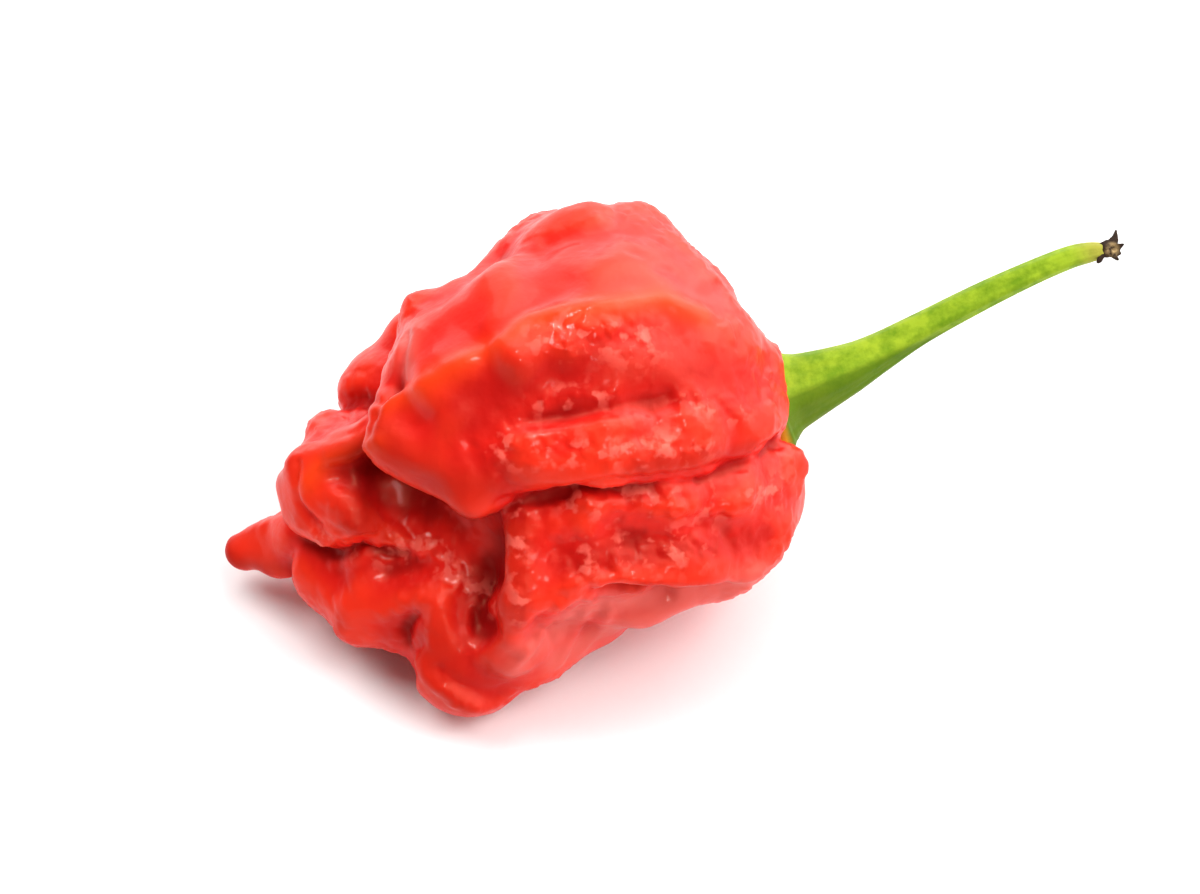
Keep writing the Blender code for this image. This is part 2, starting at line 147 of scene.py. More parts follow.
CARVED = [
    [(-15.0, -1.2, 5.6, 2.0), (-12.8, -4.4, 5.8, 2.7), (-10.0, -7.2, 7.6, 2.9), (-7.8, -8.6, 8.6, 2.7),
     (-7.2, -11.5, 7.4, 2.3), (-7.4, -15.5, 5.4, 1.8)],
    [(-14.5, -19.3, 0.8, 1.7), (-14.0, -16.6, 3.3, 1.3), (-13.2, -14.4, 4.8, 0.9)],
    [(-1.5, -17.2, 7.2, 2.2), (3, -15.9, 7.2, 2.5), (9, -15.0, 6.6, 2.4), (15, -13.4, 4.4, 1.9)],
]

# The calyx sits on the fruit like a shallow ball in a dish
CALYX_BASE = np.array([19.4, 4.9, -4.0])
CALYX_AXIS = np.array([0.97, 0.243, 0.0])
SEAT_RADIUS = 9.0
SEAT_DEPTH = 1.9
SEAT_CENTRE = CALYX_BASE + (SEAT_RADIUS - SEAT_DEPTH) * CALYX_AXIS
CALYX_RADIUS = 4.6

# The stem's line as balls (x, y, z, radius) from the calyx rim to its tip
STEM_LINE = [
    (19.42, 4.9, -4.0, 4.64), (19.8, 5.05, -4.0, 4.25), (20.6, 5.35, -4.0, 3.72), (22.3, 5.92, -4.0, 3.08),
    (25.9, 7.4, -4.0, 2.3), (28.6, 8.78, -4.1, 1.8), (32.5, 11.0, -4.2, 1.42), (38.1, 13.9, -4.3, 1.24),
    (42.6, 16.0, -4.4, 1.1), (45.9, 17.35, -4.5, 1.02), (47.8, 17.85, -4.6, 0.92), (49.1, 18.05, -4.6, 0.7),
]
CALYX_GAP = 0.04
CALYX_DISH_RINGS = 12
STEM_SIDES = 60
STEM_RINGS_PER_STRETCH = 10
STEM_RIBS = 5
RIB_SHARE = 0.055
RIB_TURN_PER_MM = 0.012
TOOTH_SHARE = 0.06

# The photograph's pixels, for the marks that are placed by them
PHOTO_MIDDLE = (560, 450)
MM_PER_PIXEL = 0.09

# Creases and ridges of the skin as seen from the show side: height, half width and line in the photograph
DETAILS = {
    "crest of the upper lobe": (0.5, 0.9, [(386, 402), (437, 378), (477, 354), (531, 319), (598, 306),
                                           (665, 300), (705, 314)]),
    "wall under the crest": (-0.4, 1.2, [(415, 425), (455, 408), (485, 390), (515, 365), (540, 348),
                                         (600, 340)]),
    "knuckle of the crest": (-0.8, 1.6, [(488, 345), (500, 335)]),
    "swelling beside the knuckle": (1.5, 1.9, [(520, 358), (540, 350), (566, 350)]),
    "trough below the crest": (-0.5, 0.8, [(530, 422), (557, 418), (598, 410), (640, 402), (665, 398)]),
    "roll under the trough": (0.4, 0.9, [(520, 438), (557, 432), (611, 425), (680, 416)]),
    "bulge of the upper outline": (0.8, 2.6, [(530, 235), (560, 215), (590, 207)]),
    "flat of the upper outline": (-0.5, 2.2, [(486, 262), (505, 248)]),
    "corner of the upper outline": (0.5, 1.6, [(412, 295), (430, 285)]),
    "upper rim of the top face": (0.15, 0.9, [(410, 298), (464, 282), (496, 268), (541, 243), (592, 223),
                                              (638, 226), (665, 250)]),
    "first dent of the top face": (-0.25, 0.7, [(634, 250), (641, 252)]),
    "second dent of the top face": (-0.3, 0.8, [(661, 268), (676, 271)]),
    "third dent of the top face": (-0.2, 0.5, [(655, 236), (662, 244)]),
    "crease round the knob": (-0.6, 0.5, [(296, 462), (294, 483), (298, 502), (317, 530)]),
    "crease over the knob": (-0.5, 0.6, [(394, 384), (381, 402), (371, 420), (366, 434)]),
    "ledge on the knob": (-0.35, 0.5, [(322, 436), (340, 431), (356, 428), (372, 414)]),
    "crest of the knob": (0.35, 0.7, [(308, 482), (317, 470), (332, 459), (355, 453), (378, 441)]),
    "rim under the knob": (0.3, 0.6, [(297, 490), (306, 506), (324, 521), (355, 530), (388, 527)]),
    "dent in the knob": (-0.4, 1.1, [(342, 478), (362, 488), (384, 500)]),
    "crease under the back lobe": (-0.7, 0.6, [(341, 401), (355, 397), (383, 398), (398, 387)]),
    "crease beside the back lobe": (-0.6, 0.6, [(404, 330), (402, 345), (400, 365), (396, 384)]),
    "first crumple": (0.5, 0.6, [(332, 563), (361, 560), (366, 549), (387, 543), (404, 543), (414, 549)]),
    "second crumple": (0.4, 0.5, [(366, 556), (393, 560), (423, 552), (440, 542)]),
    "crumple beside the tail": (0.4, 0.5, [(322, 548), (335, 541), (352, 537), (372, 532)]),
    "shoulder of the lower left lobe": (0.4, 0.8, [(385, 615), (399, 602), (420, 597), (438, 604)]),
    "fold at the notch": (-1.1, 0.7, [(412, 618), (406, 628), (402, 636), (404, 646)]),
    "rim of the bottom lobe": (0.35, 0.7, [(406, 650), (431, 684), (456, 703), (486, 710), (511, 704),
                                           (541, 686)]),
    "groove over the bottom rim": (-0.3, 0.6, [(440, 670), (456, 682), (477, 691), (498, 692), (520, 683),
                                               (541, 672)]),
    "left fold of the bottom lobe": (0.35, 0.7, [(467, 632), (477, 655), (490, 648), (505, 640)]),
    "dimple of the bottom lobe": (-0.5, 1.0, [(507, 659), (520, 663), (532, 665)]),
    "keel of the right lobe": (0.6, 0.6, [(568, 585), (589, 577), (601, 579), (625, 579), (643, 584),
                                          (660, 582), (685, 585), (712, 584), (738, 583), (758, 575)]),
    "hollow under the keel": (-0.9, 0.9, [(601, 594), (625, 588), (646, 592), (670, 596)]),
    "first fold under the nose": (0.5, 0.6, [(561, 606), (540, 640), (520, 668)]),
    "second fold under the nose": (0.5, 0.6, [(593, 598), (572, 644), (562, 665)]),
    "third fold under the nose": (0.45, 0.5, [(610, 611), (602, 632), (583, 654)]),
    "roll of the right lobe": (0.35, 0.7, [(578, 494), (596, 507), (640, 505), (667, 507), (712, 512),
                                           (740, 505)]),
    "dent of the right lobe": (-0.4, 2.0, [(614, 532), (636, 538), (660, 542), (690, 540)]),
    "main crease": (-0.5, 0.6, [(505, 503), (560, 495), (604, 484), (649, 482), (685, 476), (721, 469),
                                (747, 464), (762, 451), (783, 440), (793, 435)]),
    "fold beside the stem": (0.3, 0.6, [(787, 398), (789, 416), (780, 432), (760, 441)]),
}

# A line is laid on the skin at points this far apart, each at the height of the skin within the radius
SNAP_STEP = 0.8
SNAP_RADIUS = 0.6

# Painted orange glow of light through the thin skin of the crests: the half width along two of the ridges
# above
PAINTED_GLOW_LINES = {"crest of the upper lobe": 1.3, "crest of the knob": 1.2}

# Painted reflection of the white table as paler, pinker skin on the underside, and a painted rim highlight
# on the left edge of the top face: half width and line in the photograph
PAINTED_REFLECTION_LINES = {
    "underside of the right lobe": (2.4, [(525, 668), (550, 640), (575, 620), (610, 606), (650, 602),
                                          (700, 600), (750, 588)]),
    "foot of the right lobe": (2.2, [(560, 660), (600, 640), (640, 625), (690, 615)]),
    "left edge of the top face": (1.3, [(408, 318), (406, 345), (404, 368)]),
}

# Smooth skin: half width and line in the photograph, and how much of the roughness it loses
CALM_LINES = {
    "top face": (4.5, [(430, 330), (500, 290), (560, 262), (620, 250), (680, 275)]),
    "crest": (2.2, [(386, 402), (437, 378), (477, 354), (531, 319), (598, 306), (665, 300), (720, 330)]),
    "front wall": (2.5, [(440, 430), (500, 390), (560, 370), (640, 360), (700, 365)]),
    "chin": (3.0, [(400, 450), (430, 480), (470, 500)]),
    "tail": (3.5, [(240, 555), (290, 545)]),
}
CALM_SHARE = 0.85

# Beaded skin: half width and line in the photograph
BEADED_LINES = {
    "upper right edge": (1.6, [(590, 210), (640, 212), (700, 250), (745, 310)]),
    "rim of the bottom lobe": (1.2, [(420, 660), (456, 700), (500, 705), (545, 685), (600, 665)]),
    "right end of the wall": (1.4, [(690, 400), (740, 410)]),
    "wall under the crest": (2.2, [(555, 337), (600, 333), (640, 342)]),
    "middle of the wall": (1.3, [(545, 402), (600, 398)]),
    "roll under the wall": (1.7, [(505, 450), (560, 452), (620, 450), (700, 445)]),
    "roll of the right lobe": (1.7, [(575, 500), (640, 505), (740, 505), (780, 490)]),
    "face of the right lobe": (2.0, [(590, 560), (640, 548), (700, 545)]),
    "edge of the right lobe": (2.5, [(790, 440), (800, 480), (798, 520), (775, 555)]),
    "right shoulder": (2.6, [(735, 330), (762, 370), (784, 405)]),
    "crumples": (2.0, [(320, 545), (380, 550), (440, 550)]),
    "floor of the hollow": (1.5, [(440, 554), (460, 580), (486, 602)]),
    "nose": (1.2, [(520, 510), (518, 560), (525, 620)]),
}

# Painted shade as deeper red skin where the wall, chin and lobes lie in shade: half width and line in the
# photograph, and how much of the painted shade it takes
PAINTED_SHADE_LINES = {
    "front wall": (3.2, [(470, 410), (520, 385), (570, 370), (630, 370), (700, 375), (750, 400)]),
    "trough of the wall": (1.0, [(530, 422), (557, 418), (598, 410), (640, 402), (690, 396)]),
    "chin": (3.0, [(385, 440), (400, 460), (440, 490), (500, 480)]),
    "bottom lobe": (4.0, [(430, 650), (470, 690), (520, 670)]),
    "face of the right lobe": (1.8, [(570, 560), (620, 550), (700, 550), (760, 540)]),
    "nose ridge": (1.5, [(520, 520), (522, 580), (520, 630)]),
    "right end of the crease": (1.6, [(640, 470), (700, 462), (750, 450)]),
}
PAINTED_SHADE_SHARE = 0.58

# How much of the painted shade of a hollow the painted reflection covers
REFLECTION_OVER_SHADE = 0.85

# The beaded places that also get paler patches of painted highlights, and a bump of beads in the material
BEADS_WITH_PAINTED_HIGHLIGHTS = ("wall under the crest", "middle of the wall", "roll under the wall", "right end of the wall",
            "roll of the right lobe", "face of the right lobe", "crumples", "floor of the hollow", "nose")

# Undulations, wrinkles and pimples of the whole skin
DETAIL_SEED = 31
DIMPLE_LENGTH = 3.4
DIMPLE_DEPTH = 0.035
WRINKLE_LENGTH = 1.9
WRINKLE_DEPTH = 0.05
PIMPLE_SPACING = 1.4
PIMPLE_HEIGHT = 0.17
BEAD_SPACING = 1.7
BEAD_HEIGHT = 0.3
BEAD_REACH = 0.62
BEAD_WARP_LENGTH = 1.6
BEAD_WARP = 0.28
LEAST_BEAD = 0.5
ROUGH_PATCH_LENGTH = 12.0
LEAST_ROUGHNESS = 0.15

# The skin round the calyx stays plain out to this far from the calyx's edge
CALYX_CLEAR = 1.6

# How deep in a crease the skin is, for the painted shade: the distances off the skin where the room left is
# measured
ROOM_STEPS = (1.2, 3.0, 6.0)
CLOSED_RANGE = (0.22, 0.75)

# How the painted light on ridges and the painted shade in hollows follow the relief: the blur that levels
# it, and the heights where each starts and is full
RELIEF_BLUR = 4.0
TINT_BLUR = 0.4
BLUR_SHARE = 0.7
RIDGE_RANGE = (0.05, 0.5)
HOLLOW_RANGE = (0.1, 0.7)

# Fibres of the dried end
FIBRE_LENGTH = 0.7
FIBRE_DEPTH = 0.02

# Narrow furrows of the stem
FURROWS = 17
FURROW_SHARE = 0.012

# Where the stem's tints start and are full: yellow along its length, olive below its line as painted shade,
# yellow at its rim
STEM_DIRECTION = np.array([0.92, 0.39, 0.0])
STEM_RISE = 0.42
TIP_RANGE = (29.0, 32.5)
UNDERSIDE_SHADE_RANGE = (0.2, 1.0)
RIM_RANGE = (0.1, 0.5)

# Colours in linear light
SKIN_RED = (0.68, 0.009, 0.006)
SKIN_BRIGHT = (0.76, 0.014, 0.008)
# Lighter red of the crests and bulges, painted light
SKIN_PAINTED_CREST_LIGHT = (0.85, 0.032, 0.01)
# Orange of the crests, a painted glow of light through the thin skin
SKIN_PAINTED_GLOW = (0.9, 0.048, 0.006)
# Deep red of the creases and shaded walls, painted shade
SKIN_PAINTED_SHADE = (0.3, 0.003, 0.004)
# Pale pink, a painted reflection of the white table and a painted rim highlight
SKIN_PAINTED_REFLECTION = (0.68, 0.11, 0.09)
# Paler patches on the beads, painted highlights
SKIN_PAINTED_HIGHLIGHT = (0.88, 0.15, 0.11)
STEM_GREEN = (0.12, 0.235, 0.008)
STEM_LIGHT = (0.27, 0.39, 0.02)
STEM_YELLOW = (0.42, 0.34, 0.06)
# Dark olive of the stem's underside, painted shade
STEM_PAINTED_SHADE = (0.07, 0.14, 0.006)
STEM_RIM = (0.6, 0.36, 0.025)
BARK_DARK = (0.02, 0.009, 0.004)
BARK_LIGHT = (0.42, 0.28, 0.12)
TABLE_DIM = (0.9, 0.9, 0.9)
TABLE_BRIGHT = (0.93, 0.93, 0.93)

# How much of its colour each tint gives where it is full
# All of these but the stem's tip and rim tints give painted light or shade
PAINTED_RIDGE_LIGHT_TINT = 0.7
PAINTED_GLOW_TINT = 0.85
PAINTED_REFLECTION_TINT = 0.85
PAINTED_SHADE_TINT = 0.9
PAINTED_HIGHLIGHT_TINT = 0.68
TIP_TINT = 0.7
UNDERSIDE_SHADE_TINT = 0.85
RIM_TINT = 0.9

# The rest of each material, by the names of the shader's inputs
SKIN_SHADER = {
    "Specular IOR Level": 0.11,
    "Specular Tint": (1.0, 0.62, 0.38, 1),
    "Subsurface Weight": 0.12,
    "Subsurface Radius": (1.0, 0.16, 0.08),
    "Subsurface Scale": 0.0009,
    "Coat Roughness": 0.1,
    "Coat IOR": 1.3,
}
STEM_SHADER = {
    "Roughness": 0.6,
    "Specular IOR Level": 0.1,
    "Specular Tint": (0.8, 0.8, 0.1, 1),
    "Subsurface Weight": 0.1,
    "Subsurface Radius": (0.5, 1.0, 0.15),
    "Subsurface Scale": 0.0008,
}
BARK_SHADER = {"Roughness": 0.85, "Specular IOR Level": 0.1}
TABLE_SHADER = {"Roughness": 0.9, "Specular IOR Level": 0.1}

# The part of the noise over which a patch starts and is full
BLOTCH_RANGE = (0.35, 0.65)
PAINTED_HIGHLIGHT_RANGE = (0.54, 0.63)
GLOSS_RANGE = (0.3, 0.7)
STRIPE_RANGE = (0.36, 0.6)
BARK_RANGE = (0.35, 0.6)

# The skin's roughness between its glossiest and dullest patches, and its clear coat, which hollows lose
SKIN_ROUGHNESS = (0.32, 0.46)
COAT_LOSS_RANGE = (0.2, 0.7)
COAT_WEIGHTS = (0.22, 0.0)

# Bumps that are left to the materials: height in metres and strength
SKIN_GRAIN_BUMP = (0.0001, 0.25)
SWELL_BUMP = (0.0002, 0.35)
BEAD_BUMP = (0.0006, 0.5)
STEM_BUMP = (0.0001, 0.5)
BARK_BUMP = (0.0002, 0.8)

# Noise in the materials: hills to the metre
BLOTCHES = 260.0
GLOSS_PATCHES = 500.0
PAINTED_HIGHLIGHT_PATCHES = 600.0
SWELLS = 620.0
GRAINS = 1500.0
STEM_STRIPES = 450.0
STEM_GRAINS = 2500.0
BARK_PATCHES = 1500.0
BARK_GRAINS = 5000.0
TABLE_PATCHES = 30.0

# The table and the lights: azimuth and elevation in degrees, side in metres, watts, whether the light
# falls on the skin, and whether the skin's gloss mirrors it
FLOOR_SIDE = 6.0
POD_MIDDLE = Vector((0.0, 0.0, 0.015))
LIGHT_DISTANCE = 0.6
WORLD_GLOW = 0.15
SOFTBOXES = {
    "sky_panel": (105, 60, 0.8, 4.9, True, False),
    "sky_sheen": (110, 62, 0.9, 10.0, False, True),
    "back_sheen": (165, 30, 1.1, 16.0, False, True),
    "right_sheen": (95, 25, 0.8, 7.0, False, True),
    "wide_right_sheen": (92, 28, 1.1, 7.0, False, True),
    "left_panel": (-125, 55, 0.4, 2.5, True, False),
    "glint_panel": (-20, 76, 0.1, 2.6, False, True),
    "low_glint_panel": (10, 34, 0.1, 1.2, False, True),
    "front_fill": (45, 42, 0.5, 2.8, True, False),
}
WHITE_SEEN = 1.1

# The camera looks square on the show face, and the middle of its frame is this place in the pod's axes
SENSOR_WIDTH = 36.0
CAMERA_DISTANCE = 900.0
FRAME_WIDTH = 108.0
FRAME_MIDDLE = (3.6, 0.27)

# The dried end: a stub rooted in the stem, with a horn, a chip and spurs, as runs of balls
DRIED_CELL = 0.085
DRIED_BLEND = 0.14
DRIED_LOW = (48.2, 15.8, -6.6)
DRIED_HIGH = (52.2, 21.0, -2.6)
DRIED_END = [
    [(48.9, 18.05, -4.6, 0.66), (49.5, 18.2, -4.6, 0.76), (50.1, 18.2, -4.6, 0.6)],
    [(49.8, 18.4, -4.6, 0.52), (50.08, 18.95, -4.7, 0.4), (50.22, 19.4, -4.75, 0.24),
     (50.3, 19.85, -4.8, 0.08)],
    [(50.1, 18.3, -4.5, 0.42), (50.5, 18.42, -4.3, 0.26), (50.95, 18.6, -4.1, 0.08)],
    [(49.6, 17.85, -4.4, 0.42), (50.0, 17.6, -4.3, 0.24), (50.45, 17.2, -4.2, 0.1)],
    [(50.1, 18.0, -4.7, 0.42), (50.4, 17.85, -4.8, 0.3), (50.65, 17.8, -4.9, 0.12)],
    [(49.0, 17.6, -4.2, 0.3), (48.8, 17.22, -4.0, 0.24), (48.62, 17.0, -3.9, 0.16)],
]
HOLLOW_BALL = (50.15, 18.25, -3.95, 0.36)

# The dried end darkens outwards from its middle, over this range of distances
DRIED_MIDDLE = (49.9, 18.1)
DRIED_DARK_RANGE = (0.35, 0.85)


def waves(points, length, seed):
    """A smooth random field about -1 to 1, with hills about this long, as a sum of plane waves."""
    random = np.random.default_rng(seed)
    directions = random.normal(size=(WAVE_COUNT, 3))
    directions *= (2 * math.pi / length) / np.linalg.norm(directions, axis=1, keepdims=True)
    phases = random.uniform(0, 2 * math.pi, WAVE_COUNT)
    total = np.zeros(len(points))
    for direction, phase in zip(directions, phases):
        total += np.sin(points @ direction + phase)
    return total * math.sqrt(2 / WAVE_COUNT)


def melt(first, second, blend):
    """The union of two distances, rounded where they cross."""
    near = np.maximum(blend - np.abs(first - second), 0) / blend
    return np.minimum(first, second) - near * near * blend / 4


def run_distance(points, balls, blend=RUN_BLEND):
    """The distance to a run of balls, each joined to the next by a cone."""
    best = None
    for first, second in zip(balls, balls[1:]):
        start = np.array(first[:3], float)
        along = np.array(second[:3], float) - start
        share = np.clip((points - start) @ along / (along @ along), 0, 1)
        radius = first[3] + share * (second[3] - first[3])
        gap = np.linalg.norm(points - start - share[:, None] * along, axis=1) - radius
        best = gap if best is None else melt(best, gap, blend)
    return best


def melt_all(points, runs, blend, run_blend=RUN_BLEND):
    total = run_distance(points, runs[0], run_blend)
    for balls in runs[1:]:
        total = melt(total, run_distance(points, balls, run_blend), blend)
    return total


def fruit_field(points):
    """Below zero inside the fruit, in the pod's own axes."""
    warp = np.stack([waves(points, WARP_LENGTH, WAVE_SEED + axis) for axis in range(3)], axis=1)
    warped = points + WARP_DEPTH * warp
    fruit = melt_all(warped, CORE, RIDGE_BLEND)
    lobes = [melt_all(warped, runs, RIDGE_BLEND) for runs in LOBES.values()]
    together = lobes[0]
    for lobe in lobes[1:]:
        together = melt(together, lobe, LOBE_BLEND)
    fruit = melt(fruit, together, CORE_BLEND)
    for balls in CARVED:
        fruit = -melt(-fruit, run_distance(warped, balls), CARVE_BLEND)
    fruit += BUMP_DEPTH * waves(warped, BUMP_LENGTH, WAVE_SEED + 3)
    seat = np.linalg.norm(points - SEAT_CENTRE, axis=1) - SEAT_RADIUS
    return -melt(-fruit, seat, SEAT_BLEND)


def dried_field(points):
    """Below zero inside the dried end of the stem, in the pod's own axes."""
    stub = melt_all(points, DRIED_END, DRIED_BLEND, DRIED_BLEND)
    dent = np.linalg.norm(points - np.array(HOLLOW_BALL[:3]), axis=1) - HOLLOW_BALL[3]
    return -melt(-stub, dent, DRIED_BLEND) + FIBRE_DEPTH * waves(points, FIBRE_LENGTH, DETAIL_SEED + 7)


def fill_alternating_squares(values):
    """Fills the outer corners of the lattice squares whose corners alternate; true if there were any."""
    found = False
    for axis in range(3):
        turned = np.moveaxis(values, axis, 2)
        corners = [turned[:-1, :-1], turned[1:, :-1], turned[1:, 1:], turned[:-1, 1:]]
        inside = [corner < 0 for corner in corners]
        alternate = (inside[0] == inside[2]) & (inside[1] == inside[3]) & (inside[0] != inside[1])
        for corner in corners:
            corner[alternate & (corner >= 0)] = JUST_INSIDE
        found = found or bool(alternate.any())
    return found


def fill_pierced_cells(values):
    """Fills the lattice cells with just two opposite corners inside, or outside; true if there were any."""
    ends = (slice(None, -1), slice(1, None))
    corners = [values[ends[i], ends[j], ends[k]] for i in (0, 1) for j in (0, 1) for k in (0, 1)]
    inside = np.stack([corner < 0 for corner in corners])
    count = inside.sum(axis=0)
    pierced = np.zeros_like(inside[0])
    for k in range(4):
        pierced |= inside[k] & inside[7 - k] & (count == 2)
        pierced |= ~inside[k] & ~inside[7 - k] & (count == 6)
    for corner in corners:
        corner[pierced & (corner >= 0)] = JUST_INSIDE
    return bool(pierced.any())


def without_pinches(values):
    """The values filled where the net would otherwise touch itself along an edge or at a point."""
    values = values.copy()
    while fill_alternating_squares(values) or fill_pierced_cells(values):
        continue
    return values


def sparse_values(field, sides):
    """The field at the lattice points near its surface, and far values of the right sign elsewhere."""
    counts = [len(side) for side in sides]
    blocks = [np.arange(0, count, BLOCK) for count in counts]
    half = BLOCK / 2 * (sides[0][1] - sides[0][0])
    middles = [side[block] + half for side, block in zip(sides, blocks)]
    centres = np.stack(np.meshgrid(*middles, indexing="ij"), axis=-1)
    middle = field(centres.reshape(-1, 3)).reshape(centres.shape[:3])
    values = np.where(middle < 0, -FAR_FROM_SKIN, FAR_FROM_SKIN)
    for axis in range(3):
        values = np.repeat(values, BLOCK, axis=axis)
    values = values[: counts[0], : counts[1], : counts[2]].copy()
    near = np.argwhere(np.abs(middle) < half * math.sqrt(3) + BLOCK_MARGIN) * BLOCK
    inner = np.stack(np.meshgrid(*[np.arange(BLOCK)] * 3, indexing="ij"), axis=-1).reshape(-1, 3)
    places = (near[:, None, :] + inner[None]).reshape(-1, 3)
    places = places[(places < counts).all(axis=1)]
    points = np.stack([side[places[:, axis]] for axis, side in enumerate(sides)], axis=1)
    values[tuple(places.T)] = field(points)
    return values


def surface_net(field, low, high, cell):
    """(points, quads) of the surface where the field is zero, one point to each lattice cell it crosses."""
    sides = [np.arange(start, end + cell, cell) for start, end in zip(low, high)]
    values = without_pinches(sparse_values(field, sides))
    shape = values.shape
    total = np.zeros((values.size, 3))
    count = np.zeros(values.size)
    steps = np.array([shape[1] * shape[2], shape[2], 1])
    quads = []
    for axis in range(3):
        start = [slice(None)] * 3
        end = [slice(None)] * 3
        start[axis] = slice(0, -1)
        end[axis] = slice(1, None)
        crossing = np.argwhere((values[tuple(start)] < 0) != (values[tuple(end)] < 0))
        here = values[tuple(crossing.T)]
        ahead = crossing.copy()
        ahead[:, axis] += 1
        share = here / (here - values[tuple(ahead.T)])
        place = np.stack([side[crossing[:, k]] for k, side in enumerate(sides)], axis=1)
        place[:, axis] += share * cell
        first, second = steps[(axis + 1) % 3], steps[(axis + 2) % 3]
        base = crossing @ steps
        around = np.stack([base, base - first, base - first - second, base - second], axis=1)
        for k in range(4):
            np.add.at(total, around[:, k], place)
            np.add.at(count, around[:, k], 1)
        quads.append(np.where((here < 0)[:, None], around, around[:, ::-1]))
    quads = np.concatenate(quads)
    used, index = np.unique(quads, return_inverse=True)
    return total[used] / count[used, None], index.reshape(-1, 4)


def edges_of(quads):
    """Both ends of every edge of the quads, each edge once each way."""
    ends = np.concatenate([quads[:, [k, (k + 1) % 4]] for k in range(4)])
    return np.unique(np.concatenate([ends, ends[:, ::-1]]), axis=0)


def neighbours_mean(rows, edges):
    """The mean of each point's neighbours along the edges, for a row of numbers on each point."""
    count = np.bincount(edges[:, 0], minlength=len(rows))
    sums = []
    for column in rows.T:
        sums.append(np.bincount(edges[:, 0], weights=column[edges[:, 1]], minlength=len(rows)))
    return np.stack(sums, axis=1) / count[:, None]


def onto_surface(field, points, most):
    """The points moved along the field's slope to where it is zero, by this much at most."""
    here = field(points)
    slope = np.empty_like(points)
    for axis in range(3):
        step = np.zeros(3)
        step[axis] = SLOPE_STEP
        slope[:, axis] = (field(points + step) - here) / SLOPE_STEP
    steepness = np.maximum((slope * slope).sum(axis=1), LEAST_STEEPNESS)
    return points - np.clip(here / steepness, -most, most)[:, None] * slope


def skin_of(field, low, high, cell):
    """(points, quads) of a field's surface, evenly spread and lying on it."""
    points, quads = surface_net(field, low, high, cell)
    edges = edges_of(quads)
    for _ in range(RELAX_STEPS):
        points += RELAX_SHARE * (neighbours_mean(points, edges) - points)
        points = onto_surface(field, points, cell / 2)
    return points, quads


def kept_above_table(points):
    """What would sink into the table is pressed flat on it."""
    height = points @ TABLE_UP + TABLE_DROP
    return points - np.minimum(height, 0)[:, None] * TABLE_UP


def smooth_line(stations):
    """A smooth curve through the stations: rows of x, y, z and radius, some to each stretch."""
    stations = np.array(stations, float)
    ends = np.vstack([2 * stations[0] - stations[1], stations, 2 * stations[-1] - stations[-2]])
    rows = []
    for k in range(1, len(stations)):
        before, start, end, after = ends[k - 1 : k + 3]
        for share in np.arange(STEM_RINGS_PER_STRETCH) / STEM_RINGS_PER_STRETCH:
            bend = (end - before) * share
            bend += (2 * before - 5 * start + 4 * end - after) * share**2
            bend += (3 * start - before - 3 * end + after) * share**3
            rows.append(start + bend / 2)
    rows.append(stations[-1])
    return np.array(rows)


def from_photo(marks):
    """The photograph's pixels as x and y in the pod's own axes."""
    marks = np.array(marks, float)
    across = (marks[:, 0] - PHOTO_MIDDLE[0]) * MM_PER_PIXEL
    up = (PHOTO_MIDDLE[1] - marks[:, 1]) * MM_PER_PIXEL
    return np.stack([across, up], axis=1)


def smooth_step(values, low, high):
    share = np.clip((values - low) / (high - low), 0, 1)
    return share * share * (3 - 2 * share)


def normals_of(points, quads):
    """The outward direction at each point, from the quads round it."""
    corners = points[quads]
    faces = np.cross(corners[:, 2] - corners[:, 0], corners[:, 3] - corners[:, 1])
    total = np.zeros_like(points)
    for k in range(4):
        np.add.at(total, quads[:, k], faces)
    return total / np.maximum(np.linalg.norm(total, axis=1, keepdims=True), 1e-12)


def onto_show_side(marks, points):
    """The marks set on the nearest part of the skin that the show side sees."""
    placed = []
    for x, y in marks:
        near = np.hypot(points[:, 0] - x, points[:, 1] - y) < SNAP_RADIUS
        if near.any():
            placed.append((x, y, points[near, 2].max()))
    return np.array(placed)


def line_distance(points, line):
    """The distance from each point to the nearest stretch of a line of points."""
    nearest = np.full(len(points), np.inf)
    for start, end in zip(line, line[1:]):
        along = end - start
        share = np.clip((points - start) @ along / max(along @ along, 1e-9), 0, 1)
        gap = np.linalg.norm(points - start - share[:, None] * along, axis=1)
        nearest = np.minimum(nearest, gap)
    return nearest


def finer_line(line, step):
    """The line with a point at least every step."""
    rows = [line[0]]
    for start, end in zip(line, line[1:]):
        count = max(1, int(np.ceil(np.linalg.norm(end - start) / step)))
        for k in range(1, count + 1):
            rows.append(start + (end - start) * k / count)
    return np.array(rows)


def detail_heights(points):
    """How far each point of the skin is raised, or let in, by the creases and ridges."""
    height = np.zeros(len(points))
    for rise, width, marks in DETAILS.values():
        line = onto_show_side(finer_line(from_photo(marks), SNAP_STEP), points)
        height += rise * np.exp(-((line_distance(points, line) / width) ** 2))
    return height


def pimples(points, spacing, height, seed):
    """Uneven pimples at random places about this far apart."""
    random = np.random.default_rng(seed)
    warp = np.stack([waves(points, BEAD_WARP_LENGTH, seed + 10 + axis) for axis in range(3)], axis=1)
    points = points + BEAD_WARP * warp
    order = random.permutation(len(points))
    seeds = []
    grid = {}
    for index in order:
        cell = tuple(np.floor(points[index] / spacing).astype(int))
        if cell not in grid:
            grid[cell] = index
            seeds.append(index)
    tree = kdtree.KDTree(len(seeds))
    for count, index in enumerate(seeds):
        tree.insert(points[index], count)
    tree.balance()
    sizes = random.uniform(LEAST_BEAD, 1.0, len(seeds))
    found = [tree.find(point) for point in points]
    gaps = np.array([gap for _, _, gap in found])
    size = sizes[[count for _, count, _ in found]]
    return height * size * np.maximum(1 - (gaps / (spacing * BEAD_REACH)) ** 2, 0) ** 2


def blurred(rows, edges, length):
    """The rows of numbers on each point, averaged with their neighbours over about this length."""
    for _ in range(max(1, round((length / SKIN_CELL) ** 2))):
        rows = (1 - BLUR_SHARE) * rows + BLUR_SHARE * neighbours_mean(rows, edges)
    return rows


